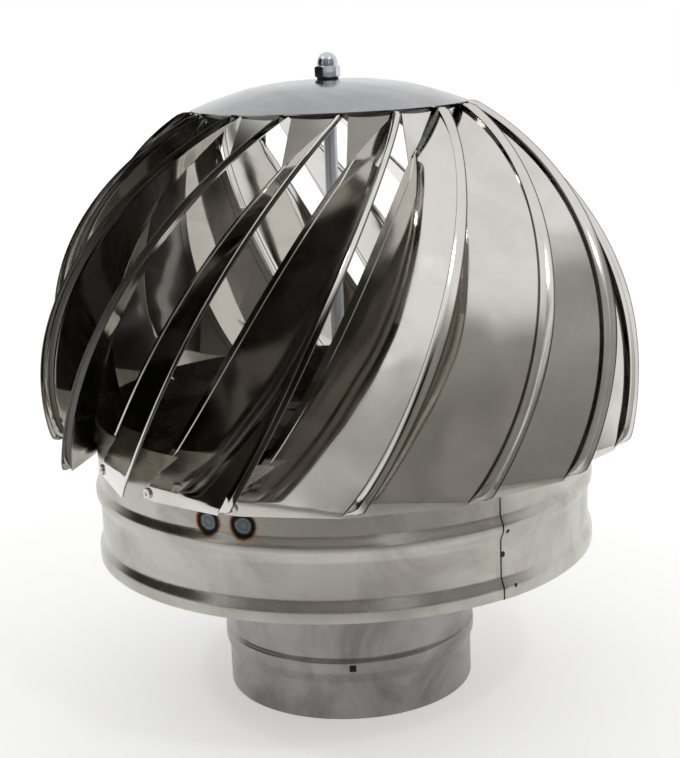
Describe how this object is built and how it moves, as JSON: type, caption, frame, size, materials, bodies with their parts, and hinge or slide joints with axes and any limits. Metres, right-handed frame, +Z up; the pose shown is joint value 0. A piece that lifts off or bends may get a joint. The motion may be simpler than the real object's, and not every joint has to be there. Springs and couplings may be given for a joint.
{
  "type": "roof turbine ventilator",
  "caption": "Wind-driven flue cowl: a ball of raked mirror-polished blades on a round drum that spins freely on a bearing post above a fixed pipe spigot.",
  "frame": {"origin": "centre of the spigot's lower end, on the spin axis", "axes": "+Z up along the spin axis, -Y towards the front, +X to the right"},
  "size_m": [0.3514, 0.3514, 0.3798],
  "materials": {
    "polished_stainless": "mirror-polished stainless sheet",
    "mill_stainless": "bright rolled stainless sheet, a little hazy",
    "plate_steel": "plain stainless plate",
    "zinc_plated_steel": "bright zinc plating",
    "rivet_stainless": "bright rivet heads",
    "bearing_steel": "ground bearing steel",
    "black_rubber": "matt black rubber"
  },
  "bodies": {
    "base": {"spigot": "mill_stainless", "bearing_bracket": "plate_steel", "bracket_rivets": "zinc_plated_steel", "bearing_housing": "mill_stainless", "lower_bearing_outer_ring": "bearing_steel", "upper_bearing_outer_ring": "bearing_steel"},
    "rotor": {"lower_bearing_inner_ring": "bearing_steel", "upper_bearing_inner_ring": "bearing_steel", "bearing_spacer": "zinc_plated_steel", "spindle": "zinc_plated_steel", "spindle_nuts": "zinc_plated_steel", "bearing_washers": "zinc_plated_steel", "rotor_spider": "plate_steel", "drum": "mill_stainless", "drum_bottom_ring": "mill_stainless", "cap": "polished_stainless", "cap_washer": "zinc_plated_steel", "sealing_washer": "black_rubber", "acorn_nut": "zinc_plated_steel", "blade_rivets": "rivet_stainless", "blade_01": "polished_stainless", "blade_02": "polished_stainless", "blade_03": "polished_stainless", "blade_04": "polished_stainless", "blade_05": "polished_stainless", "blade_06": "polished_stainless", "blade_07": "polished_stainless", "blade_08": "polished_stainless", "blade_09": "polished_stainless", "blade_10": "polished_stainless", "blade_11": "polished_stainless", "blade_12": "polished_stainless", "blade_13": "polished_stainless", "blade_14": "polished_stainless", "blade_15": "polished_stainless", "blade_16": "polished_stainless"}
  },
  "joints": [
    {"name": "rotor_spin", "type": "hinge", "parent": "base", "child": "rotor", "pos_m": [0, 0, 0.084], "axis": [0, 0, 1], "continuous": true}
  ]
}
